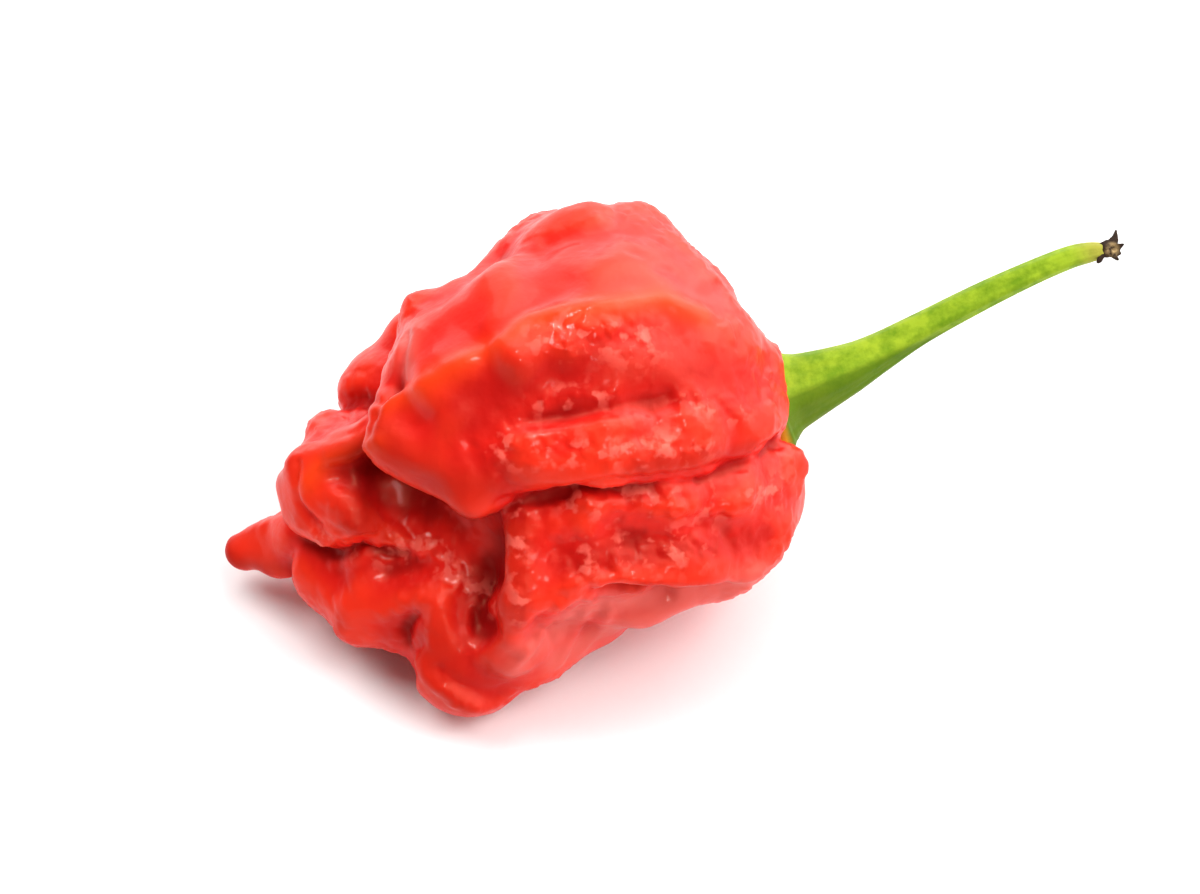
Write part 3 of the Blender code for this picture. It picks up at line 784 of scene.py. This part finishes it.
def raised_skin(points, quads):
    """The skin pushed along its normals: first creases, ridges and wrinkles, then pimples and beads."""
    from_calyx = np.linalg.norm(points - CALYX_BASE, axis=1)
    away = smooth_step(from_calyx, CALYX_RADIUS, CALYX_RADIUS + CALYX_CLEAR)
    rough = rough_share(points)
    height = detail_heights(points)
    height += DIMPLE_DEPTH * waves(points, DIMPLE_LENGTH, DETAIL_SEED)
    height += rough * WRINKLE_DEPTH * waves(points, WRINKLE_LENGTH, DETAIL_SEED + 1)
    points = points + (height * away)[:, None] * normals_of(points, quads)
    bumps = rough * pimples(points, PIMPLE_SPACING, PIMPLE_HEIGHT, DETAIL_SEED + 2)
    beaded = line_share(points, BEADED_LINES)
    bumps += beaded * pimples(points, BEAD_SPACING, BEAD_HEIGHT, DETAIL_SEED + 3)
    return points + (bumps * away)[:, None] * normals_of(points, quads)


def skin_tints(points, quads):
    """How full each tint of painted light and shade is at each point of the skin, from 0 to 1."""
    edges = edges_of(quads)
    level = blurred(points, edges, RELIEF_BLUR)
    outward = normals_of(level, quads)
    relief = ((points - level) * outward).sum(axis=1)
    # Painted shade: deep in creases, in concave places and along the shaded walls
    painted_shade = np.maximum(smooth_step(-relief, *HOLLOW_RANGE), closed_share(level, outward))
    painted_shade = np.maximum(painted_shade, PAINTED_SHADE_SHARE * line_share(points, PAINTED_SHADE_LINES))
    # Painted reflection of the table on the underside, and a painted rim highlight
    painted_reflection = line_share(points, PAINTED_REFLECTION_LINES)
    painted_glow_lines = {name: (width, DETAILS[name][2]) for name, width in PAINTED_GLOW_LINES.items()}
    tints = {
        "painted_ridge_light": smooth_step(relief, *RIDGE_RANGE),
        "painted_shade": painted_shade * (1 - REFLECTION_OVER_SHADE * painted_reflection),
        "painted_glow": line_share(points, painted_glow_lines),
        "painted_reflection": painted_reflection,
        "bead_bumps_and_painted_highlights": line_share(points, {name: BEADED_LINES[name] for name in BEADS_WITH_PAINTED_HIGHLIGHTS}),
    }
    return {name: blurred(share[:, None], edges, TINT_BLUR)[:, 0] for name, share in tints.items()}


def rough_share(points):
    """How rough each part of the skin is: in patches, and less near the calm places."""
    patches = waves(points, ROUGH_PATCH_LENGTH, DETAIL_SEED + 5)
    rough = np.clip(0.5 + 0.5 * patches, LEAST_ROUGHNESS, 1.0)
    return rough * (1 - CALM_SHARE * line_share(points, CALM_LINES))


def closed_share(points, normals):
    """How closed in each point is: 0 on open skin, and near 1 at the foot of a deep crease."""
    closed = np.zeros(len(points))
    for step in ROOM_STEPS:
        room = fruit_field(points + step * normals)
        closed += np.clip(1 - room / step, 0, 1) / len(ROOM_STEPS)
    return smooth_step(closed, *CLOSED_RANGE)


def line_share(points, lines):
    """How near each point is to any of the lines, each a half width and its line in the photograph."""
    share = np.zeros(len(points))
    for width, marks in lines.values():
        line = onto_show_side(finer_line(from_photo(marks), SNAP_STEP), points)
        share = np.maximum(share, np.exp(-((line_distance(points, line) / width) ** 2)))
    return share


def ring(centre, direction, radius, turn, ripple, count):
    """The points round one cross-section of the stem, with this many ripples of this share round it."""
    across = np.cross(direction, (0.0, 0.0, 1.0))
    across /= np.linalg.norm(across)
    other = np.cross(direction, across)
    angles = np.arange(STEM_SIDES) * 2 * math.pi / STEM_SIDES
    radii = radius * (1 + ripple * np.cos(count * (angles - turn)) + fine_ribs(angles, turn))
    return centre + (radii * np.cos(angles))[:, None] * across + (radii * np.sin(angles))[:, None] * other


def fine_ribs(angles, turn):
    """Narrow lengthwise furrows between the five ribs, as a share of the radius."""
    return FURROW_SHARE * np.cos(FURROWS * (angles - turn) + np.sin(3 * angles))


def calyx_dish_rings():
    """The rings of the calyx's underside, on a ball just smaller than the seat, from its middle outwards."""
    ball = SEAT_RADIUS - CALYX_GAP
    for k in range(1, CALYX_DISH_RINGS + 1):
        radius = CALYX_RADIUS * k / CALYX_DISH_RINGS
        centre = SEAT_CENTRE - math.sqrt(ball * ball - radius * radius) * CALYX_AXIS
        yield ring(centre, CALYX_AXIS, radius, 0, TOOTH_SHARE * k / CALYX_DISH_RINGS, STEM_RIBS)


def stem_rings():
    """The rings of the outside of the calyx and stem, from the rim to the tip."""
    rows = smooth_line(STEM_LINE)
    along = np.gradient(rows[:, :3], axis=0)
    along[0] = CALYX_AXIS
    along /= np.linalg.norm(along, axis=1, keepdims=True)
    travelled = np.append(0, np.cumsum(np.linalg.norm(np.diff(rows[:, :3], axis=0), axis=1)))
    for row, direction, length in zip(rows, along, travelled):
        yield ring(row[:3], direction, row[3], RIB_TURN_PER_MM * length, RIB_SHARE, STEM_RIBS)


def loft(rings, first_pole, last_pole):
    """(points, faces) of a closed skin over the rings, with a fan at each end."""
    points = [first_pole, *np.concatenate(rings), last_pole]
    faces = []
    for k in range(STEM_SIDES):
        after = (k + 1) % STEM_SIDES
        faces.append((0, 1 + after, 1 + k))
        for row in range(len(rings) - 1):
            low = 1 + row * STEM_SIDES
            high = low + STEM_SIDES
            faces.append((low + k, low + after, high + after, high + k))
        last = 1 + (len(rings) - 1) * STEM_SIDES
        faces.append((last + k, last + after, len(points) - 1))
    return np.array(points), faces


def pod_matrix():
    """The pod's own axes, in millimetres, as they lie in the row's frame."""
    turn = Matrix.Rotation(YAW, 4, "Z") @ Matrix.Rotation(LEAN, 4, "X")
    place = Vector((POD_SHIFT[0], POD_SHIFT[1], TABLE_DROP)) * MM
    return Matrix.Translation(place) @ turn @ Matrix.Scale(MM, 4)


def make_piece(name, points, faces, material, tints):
    """A smooth mesh object whose points are given in the pod's axes in millimetres."""
    matrix = np.array(pod_matrix())
    placed = points @ matrix[:3, :3].T + matrix[:3, 3]
    mesh = bpy.data.meshes.new(name)
    mesh.from_pydata(placed.tolist(), [], [tuple(face) for face in faces])
    mesh.shade_smooth()
    mesh.materials.append(material)
    for tint, values in tints.items():
        attribute = mesh.attributes.new(tint, "FLOAT", "POINT")
        attribute.data.foreach_set("value", values.astype(np.float32))
    piece = bpy.data.objects.new(name, mesh)
    bpy.context.scene.collection.objects.link(piece)
    return piece


class Paint:
    """A material's node tree, with short calls for the nodes that the finishes below use."""

    def __init__(self, name):
        self.material = bpy.data.materials.new(name)
        self.material.use_nodes = True
        self.tree = self.material.node_tree
        self.shader = self.tree.nodes["Principled BSDF"]

    def link(self, start, end):
        self.tree.links.new(start, end)

    def set(self, settings):
        for name, value in settings.items():
            self.shader.inputs[name].default_value = value

    def noise(self, scale, detail=3.0, roughness=0.55):
        """Smooth noise from 0 to 1, with this many hills to the metre of the object's own space."""
        place = self.tree.nodes.new("ShaderNodeTexCoord").outputs["Object"]
        node = self.tree.nodes.new("ShaderNodeTexNoise")
        node.inputs["Scale"].default_value = scale
        node.inputs["Detail"].default_value = detail
        node.inputs["Roughness"].default_value = roughness
        self.link(place, node.inputs["Vector"])
        return node.outputs["Fac"]

    def attribute(self, name):
        node = self.tree.nodes.new("ShaderNodeAttribute")
        node.attribute_name = name
        return node.outputs["Fac"]

    def ranged(self, value, low, high, to_low=0.0, to_high=1.0):
        """The value carried over from one range to another, and held at its ends."""
        node = self.tree.nodes.new("ShaderNodeMapRange")
        node.inputs["From Min"].default_value = low
        node.inputs["From Max"].default_value = high
        node.inputs["To Min"].default_value = to_low
        node.inputs["To Max"].default_value = to_high
        self.link(value, node.inputs["Value"])
        return node.outputs["Result"]

    def times(self, value, factor):
        """The value times a number or a socket."""
        node = self.tree.nodes.new("ShaderNodeMath")
        node.operation = "MULTIPLY"
        self.link(value, node.inputs[0])
        if isinstance(factor, (int, float)):
            node.inputs[1].default_value = factor
        else:
            self.link(factor, node.inputs[1])
        return node.outputs["Value"]

    def mix(self, share, first, second):
        """A colour between two colours, each a linear triple or a socket."""
        node = self.tree.nodes.new("ShaderNodeMix")
        node.data_type = "RGBA"
        self.link(share, node.inputs["Factor"])
        for socket, colour in zip((node.inputs[6], node.inputs[7]), (first, second)):
            if isinstance(colour, tuple):
                socket.default_value = (*colour, 1)
            else:
                self.link(colour, socket)
        return node.outputs[2]

    def bump(self, height, distance, strength, painted_underside_shade=None):
        node = self.tree.nodes.new("ShaderNodeBump")
        node.inputs["Distance"].default_value = distance
        node.inputs["Strength"].default_value = strength
        self.link(height, node.inputs["Height"])
        if painted_underside_shade:
            self.link(painted_underside_shade, node.inputs["Normal"])
        return node.outputs["Normal"]


def fruit_finish():
    """Wet-looking ripe skin: deep red painted shade in the hollows, painted light and an orange painted glow
    on the crests, pinker painted reflection, and paler patches of painted highlights on the beads.
    """
    paint = Paint("red_pepper_skin")
    bead_bumps_and_painted_highlights, painted_shade = paint.attribute("bead_bumps_and_painted_highlights"), paint.attribute("painted_shade")
    blotches = paint.ranged(paint.noise(BLOTCHES), *BLOTCH_RANGE)
    colour = paint.mix(blotches, SKIN_RED, SKIN_BRIGHT)
    # Painted light: lighter red on every bulge of the relief
    colour = paint.mix(paint.times(paint.attribute("painted_ridge_light"), PAINTED_RIDGE_LIGHT_TINT), colour, SKIN_PAINTED_CREST_LIGHT)
    # Painted orange glow of light through the crests
    colour = paint.mix(paint.times(paint.attribute("painted_glow"), PAINTED_GLOW_TINT), colour, SKIN_PAINTED_GLOW)
    # Painted reflection of the white table and painted rim highlight, pinker and paler
    colour = paint.mix(paint.times(paint.attribute("painted_reflection"), PAINTED_REFLECTION_TINT), colour, SKIN_PAINTED_REFLECTION)
    # Painted shade: deep red in the creases and on the shaded walls
    colour = paint.mix(paint.times(painted_shade, PAINTED_SHADE_TINT), colour, SKIN_PAINTED_SHADE)
    # Painted highlights: paler patches on the beads
    painted_highlights = paint.times(paint.ranged(paint.noise(PAINTED_HIGHLIGHT_PATCHES, 2.5, 0.5), *PAINTED_HIGHLIGHT_RANGE), bead_bumps_and_painted_highlights)
    colour = paint.mix(paint.times(painted_highlights, PAINTED_HIGHLIGHT_TINT), colour, SKIN_PAINTED_HIGHLIGHT)
    paint.link(colour, paint.shader.inputs["Base Color"])
    gloss = paint.ranged(paint.noise(GLOSS_PATCHES), *GLOSS_RANGE, *SKIN_ROUGHNESS)
    paint.link(gloss, paint.shader.inputs["Roughness"])
    coat = paint.ranged(painted_shade, *COAT_LOSS_RANGE, *COAT_WEIGHTS)
    paint.link(coat, paint.shader.inputs["Coat Weight"])
    grain = paint.bump(paint.noise(GRAINS), *SKIN_GRAIN_BUMP)
    swell = paint.bump(paint.noise(SWELLS, 2.0), *SWELL_BUMP, grain)
    beads = paint.bump(paint.times(paint.noise(SWELLS, 1.0), bead_bumps_and_painted_highlights), *BEAD_BUMP, swell)
    paint.link(beads, paint.shader.inputs["Normal"])
    paint.set(SKIN_SHADER)
    return paint.material


def stem_finish():
    """Fresh green stem: lighter on top and olive below its line, a painted shade, yellowing to the tip and
    at the calyx.
    """
    paint = Paint("green_stem_skin")
    stripes = paint.ranged(paint.noise(STEM_STRIPES, 5.0, 0.65), *STRIPE_RANGE)
    colour = paint.mix(stripes, STEM_GREEN, STEM_LIGHT)
    colour = paint.mix(paint.times(paint.attribute("tip"), TIP_TINT), colour, STEM_YELLOW)
    # Painted shade: darker olive on the stem's underside
    colour = paint.mix(paint.times(paint.attribute("painted_underside_shade"), UNDERSIDE_SHADE_TINT), colour, STEM_PAINTED_SHADE)
    colour = paint.mix(paint.times(paint.attribute("rim"), RIM_TINT), colour, STEM_RIM)
    paint.link(colour, paint.shader.inputs["Base Color"])
    paint.link(paint.bump(paint.noise(STEM_GRAINS, 4.0), *STEM_BUMP), paint.shader.inputs["Normal"])
    paint.set(STEM_SHADER)
    return paint.material


def dried_finish():
    """Dry, fibrous brown bark at the end of the stem, darker outwards."""
    paint = Paint("dry_brown_bark")
    patches = paint.ranged(paint.noise(BARK_PATCHES, 5.0), *BARK_RANGE)
    colour = paint.mix(patches, BARK_DARK, BARK_LIGHT)
    colour = paint.mix(paint.attribute("outer"), colour, BARK_DARK)
    paint.link(colour, paint.shader.inputs["Base Color"])
    paint.link(paint.bump(paint.noise(BARK_GRAINS, 4.0), *BARK_BUMP), paint.shader.inputs["Normal"])
    paint.set(BARK_SHADER)
    return paint.material


def table_finish():
    paint = Paint("white_table_top")
    colour = paint.mix(paint.noise(TABLE_PATCHES), TABLE_DIM, TABLE_BRIGHT)
    paint.link(colour, paint.shader.inputs["Base Color"])
    paint.set(TABLE_SHADER)
    return paint.material


def build_fruit():
    points, quads = skin_of(fruit_field, FRUIT_LOW, FRUIT_HIGH, SKIN_CELL)
    points = raised_skin(points, quads)
    tints = skin_tints(points, quads)
    points = kept_above_table(points)
    piece = make_piece("pepper_fruit", points, quads.tolist(), fruit_finish(), tints)
    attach(piece, "root")
    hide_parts("fruit")


def build_stem():
    rings = [*calyx_dish_rings(), *stem_rings()]
    underside = SEAT_CENTRE - (SEAT_RADIUS - CALYX_GAP) * CALYX_AXIS
    points, faces = loft(rings, underside, np.array(STEM_LINE[-1][:3]))
    from_base = points - CALYX_BASE
    # The tip and rim tints are the stem's own yellowing; the underside tint is painted shade
    tints = {
        "tip": smooth_step(from_base @ STEM_DIRECTION, *TIP_RANGE),
        "painted_underside_shade": smooth_step(STEM_RISE * from_base[:, 0] - from_base[:, 1], *UNDERSIDE_SHADE_RANGE),
        "rim": 1 - smooth_step(from_base @ CALYX_AXIS, *RIM_RANGE),
    }
    piece = make_piece("pepper_stem", points, faces, stem_finish(), tints)
    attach(piece, "root")
    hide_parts("stem")


def build_dried_end():
    points, quads = skin_of(dried_field, DRIED_LOW, DRIED_HIGH, DRIED_CELL)
    spread = np.hypot(points[:, 0] - DRIED_MIDDLE[0], points[:, 1] - DRIED_MIDDLE[1])
    tints = {"outer": smooth_step(spread, *DRIED_DARK_RANGE)}
    piece = make_piece("dried_stub", points, quads.tolist(), dried_finish(), tints)
    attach(piece, "root")
    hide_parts("dried_stem_end")


def build_floor():
    half = FLOOR_SIDE / 2
    corners = [(-half, -half, 0), (half, -half, 0), (half, half, 0), (-half, half, 0)]
    mesh = bpy.data.meshes.new("white_table")
    mesh.from_pydata(corners, [], [(0, 1, 2, 3)])
    mesh.materials.append(table_finish())
    floor = bpy.data.objects.new("white_table", mesh)
    bpy.context.scene.collection.objects.link(floor)


def add_softbox(name, azimuth, elevation, size, watts, lights, shines):
    """A square soft light that faces the pod from this direction, in degrees, azimuth 0 being the front."""
    light = bpy.data.lights.new(name, "AREA")
    light.shape = "SQUARE"
    light.size = size
    light.energy = watts
    lamp = bpy.data.objects.new(name, light)
    turn, rise = math.radians(azimuth), math.radians(elevation)
    towards = Vector((math.sin(turn) * math.cos(rise), -math.cos(turn) * math.cos(rise), math.sin(rise)))
    lamp.location = POD_MIDDLE + towards * LIGHT_DISTANCE
    lamp.rotation_mode = "QUATERNION"
    lamp.rotation_quaternion = towards.to_track_quat("Z", "Y")
    lamp.visible_diffuse = lights
    lamp.visible_glossy = shines
    bpy.context.scene.collection.objects.link(lamp)


def add_world():
    """White seen straight on, and a dim even glow as light."""
    world = bpy.data.worlds.new("white_studio")
    world.use_nodes = True
    nodes, links = world.node_tree.nodes, world.node_tree.links
    glow = nodes["Background"]
    glow.inputs["Color"].default_value = (1, 1, 1, 1)
    glow.inputs["Strength"].default_value = WORLD_GLOW
    white = nodes.new("ShaderNodeBackground")
    white.inputs["Color"].default_value = (1, 1, 1, 1)
    white.inputs["Strength"].default_value = WHITE_SEEN
    path = nodes.new("ShaderNodeLightPath")
    mix = nodes.new("ShaderNodeMixShader")
    links.new(path.outputs["Is Camera Ray"], mix.inputs[0])
    links.new(glow.outputs[0], mix.inputs[1])
    links.new(white.outputs[0], mix.inputs[2])
    links.new(mix.outputs[0], nodes["World Output"].inputs["Surface"])
    bpy.context.scene.world = world


def add_lights():
    for name, settings in SOFTBOXES.items():
        add_softbox(name, *settings)
    add_world()
    bpy.context.scene.view_settings.view_transform = "Standard"


def add_camera():
    """A long lens square to the show side, with the photograph's framing."""
    lens = bpy.data.cameras.new("camera")
    lens.sensor_width = SENSOR_WIDTH
    lens.lens = SENSOR_WIDTH * CAMERA_DISTANCE / FRAME_WIDTH
    camera = bpy.data.objects.new("camera", lens)
    place = pod_matrix() @ Vector((*FRAME_MIDDLE, CAMERA_DISTANCE))
    turn = pod_matrix().to_quaternion().to_matrix().to_4x4()
    camera.matrix_world = Matrix.Translation(place) @ turn
    bpy.context.scene.collection.objects.link(camera)
    bpy.context.scene.camera = camera


build_fruit()
build_stem()
build_dried_end()
build_floor()
add_lights()
add_camera()
